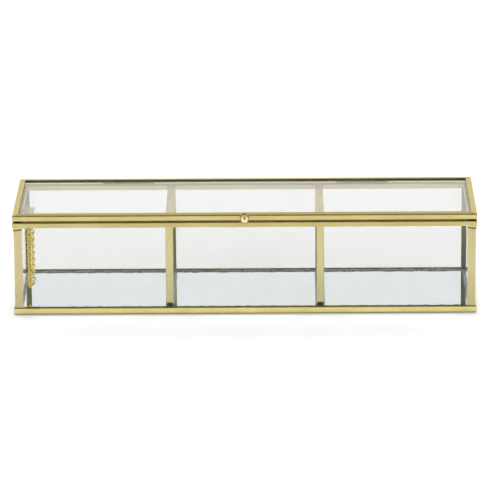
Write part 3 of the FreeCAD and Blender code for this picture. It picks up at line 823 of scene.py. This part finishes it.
def cornerWrap(name, corner, signX, signY, width, topDrops, look, material):
    # a strip folded round a corner post; topDrops lowers its upper edge at the fold and at the ends
    thick = look["thick"]
    foldTop, endTop = topDrops
    foldDrop, endDrop = look["outerDrop"], look["innerDrop"]
    plan = [
        (-signX * width, 0, endTop, endDrop),
        (0, 0, foldTop, foldDrop),
        (0, -signY * width, endTop, endDrop),
        (signX * thick, -signY * width, endTop, endDrop),
        (signX * thick, signY * thick, foldTop, foldDrop),
        (-signX * width, signY * thick, endTop, endDrop),
    ]
    around = len(plan)
    vertices = [corner + Vector((x, y, -top)) for x, y, top, drop in plan]
    vertices += [corner + Vector((x, y, -top - drop)) for x, y, top, drop in plan]
    faces = [(0, 1, 4, 5), (1, 2, 3, 4), (6, 7, 10, 11), (7, 8, 9, 10)]
    for edge in range(around):
        after = (edge + 1) % around
        faces.append((edge, after, after + around, edge + around))
    piece = meshObject(name, vertices, faces, material, False)
    soften = piece.modifiers.new("soften", "BEVEL")
    soften.width = look["bevel"]
    soften.segments = 2
    return place(piece, "box_body", "frame_brass")


tabBrass = makeBrass("tabBrass", frameBrass, acrossX)
shadowStripBrass = makeBrass("paintedShadowStrip", darkStripBrass)
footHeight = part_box("bottom_rail_front")[1].z
for depthName, signY in (("Front", -1), ("Rear", 1)):
    for sideName, signX in (("Left", -1), ("Right", 1)):
        postLow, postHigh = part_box(f"corner_post_{depthName.lower()}_{sideName.lower()}")
        cornerX = postHigh.x if signX > 0 else postLow.x
        cornerY = postHigh.y if signY > 0 else postLow.y
        under = Vector((cornerX, cornerY, frontRailLow.z))
        onFoot = Vector((cornerX, cornerY, footHeight + footShadowStrip["outerDrop"]))
        tabDrops = (cornerTab["outerDrop"], cornerTab["innerDrop"])
        spot = depthName + sideName
        cornerWrap("tab" + spot, under, signX, signY, postWidth, (0.0, 0.0), cornerTab, tabBrass)
        # painted shadow under the tab and painted shade at the post's foot
        cornerWrap("tabShadowStrip" + spot, under, signX, signY, postWidth, tabDrops, tabShadowStrip, shadowStripBrass)
        cornerWrap("footShadowStrip" + spot, onFoot, signX, signY, postWidth, (0.0, 0.0), footShadowStrip, shadowStripBrass)
print("corner tabs folded")


# floor, light and camera

def towards(turn, height):
    # the direction that is turn degrees round from the front, and height degrees up
    turn, height = math.radians(turn), math.radians(height)
    return Vector((math.sin(turn) * math.cos(height), -math.cos(turn) * math.cos(height), math.sin(height)))


camera = {
    "elevation": 17.28,
    "azimuth": 0.5,
    "distance": 2.466,
    "lens": 285.1,
    "sensor": 36.0,
    "roll": 0.45,
    "aimHeight": 32 * millimetre,
    "shift": (-0.0006, 0.0004),
}
aim = Vector((0.0, boxMiddleY, camera["aimHeight"]))
toCamera = towards(camera["azimuth"], camera["elevation"])
lens = bpy.data.cameras.new("camera")
lens.lens = camera["lens"]
lens.sensor_width = camera["sensor"]
lens.shift_x, lens.shift_y = camera["shift"]
lens.clip_end = 100.0
viewer = bpy.data.objects.new("camera", lens)
bpy.context.scene.collection.objects.link(viewer)
facing = (-toCamera).to_track_quat("-Z", "Y").to_matrix().to_4x4()
viewer.matrix_world = (Matrix.Translation(aim + toCamera * camera["distance"]) @ facing
                       @ Matrix.Rotation(math.radians(-camera["roll"]), 4, "Z"))
bpy.context.scene.camera = viewer

studio = {
    "floorSize": 9.0,
    "floorColour": colour(0.93, 0.93, 0.93),
    "floorShade": colour(0.915, 0.915, 0.915),
    "floorCloud": 0.4,
    "floorDrop": 0.02 * millimetre,
    "skyColour": colour(1.0, 1.0, 1.0),
    "skyStrength": 0.58,
    "rearSkyStrength": 1.17,
    "rearSkyEdge": (0.72, 0.93),
    "cardShade": 0.92,
    "cardHalfAngle": 21.0,
    "cardEdge": (1.25, 0.8),
    "cardElevation": 50.0,
}
floorHalf = studio["floorSize"] / 2
floorMaterial, tree, shader, coords = startMaterial("paperFloor")
floorCloud = cloud(tree, coords.outputs["Object"], studio["floorCloud"])
floorPaint = blendColour(tree, floorCloud, studio["floorColour"], studio["floorShade"])
feed(tree, shader.inputs["Base Color"], floorPaint)
shader.inputs["Roughness"].default_value = 0.9
shader.inputs["Specular IOR Level"].default_value = 0.1
floorSigns = ((-1, -1), (1, -1), (1, 1), (-1, 1))
floorCorners = [(signX * floorHalf, signY * floorHalf, 0) for signX, signY in floorSigns]
floor = meshObject("floor", floorCorners, [(0, 1, 2, 3)], floorMaterial)
floor.location.z = cadLow.z - studio["floorDrop"]

world = bpy.data.worlds.new("studio")
bpy.context.scene.world = world
world.use_nodes = True
sky = world.node_tree
backdrop = next(node for node in sky.nodes if node.type == "BACKGROUND")
skyCoords = sky.nodes.new("ShaderNodeTexCoord")
cardHeight = math.radians(studio["cardElevation"])
cardDirection = (0.0, -math.cos(cardHeight), math.sin(cardHeight))
toCard = makeNode(sky, "ShaderNodeVectorMath", {0: skyCoords.outputs["Generated"], 1: cardDirection},
                  operation="DOT_PRODUCT")
cardStart, cardEnd = [math.cos(math.radians(studio["cardHalfAngle"] * edge)) for edge in studio["cardEdge"]]
card = ease(sky, toCard.outputs["Value"], cardStart, cardEnd, 1.0, 1.0 - studio["cardShade"])
feed(sky, backdrop.inputs["Color"], studio["skyColour"])
skySplit = makeNode(sky, "ShaderNodeSeparateXYZ", {"Vector": skyCoords.outputs["Generated"]})
strength = ease(sky, skySplit.outputs[1], *studio["rearSkyEdge"], studio["skyStrength"],
                studio["rearSkyStrength"])
feed(sky, backdrop.inputs["Strength"], calc(sky, "MULTIPLY", card, strength))

lamps = (
    {"name": "leftSoftbox", "turn": -68, "height": 30, "distance": 1.5, "size": 0.7, "power": 4.6},
    {"name": "rightSoftbox", "turn": 68, "height": 30, "distance": 1.5, "size": 0.7, "power": 4.6},
)
rearLight = {"height": 47, "spread": 24, "strength": 0.90, "turns": (-40, 0, 40)}
for lamp in lamps:
    away = towards(lamp["turn"], lamp["height"])
    light = bpy.data.lights.new(lamp["name"], "AREA")
    light.shape = "SQUARE"
    light.size = lamp["size"]
    light.energy = lamp["power"]
    holder = bpy.data.objects.new(lamp["name"], light)
    bpy.context.scene.collection.objects.link(holder)
    holder.location = aim + away * lamp["distance"]
    holder.rotation_euler = (-away).to_track_quat("-Z", "Y").to_euler()

# wide lights from behind throw the box's shadow forward; reflections and glass don't show them
for turn in rearLight["turns"]:
    backLight = bpy.data.lights.new("rearLight", "SUN")
    backLight.angle = math.radians(rearLight["spread"])
    backLight.energy = rearLight["strength"]
    backHolder = bpy.data.objects.new("rearLight", backLight)
    bpy.context.scene.collection.objects.link(backHolder)
    down = -towards(180 - turn, rearLight["height"])
    backHolder.rotation_euler = down.to_track_quat("-Z", "Y").to_euler()
    backHolder.visible_glossy = False
    backHolder.visible_transmission = False

view = bpy.context.scene.view_settings
view.view_transform = "Standard"
view.look = "None"
cycles = bpy.context.scene.cycles
cycles.max_bounces = 28
cycles.transmission_bounces = 28
cycles.glossy_bounces = 16
cycles.diffuse_bounces = 4
cycles.transparent_max_bounces = 24
cycles.sample_clamp_indirect = 6.0
print("studio ready")
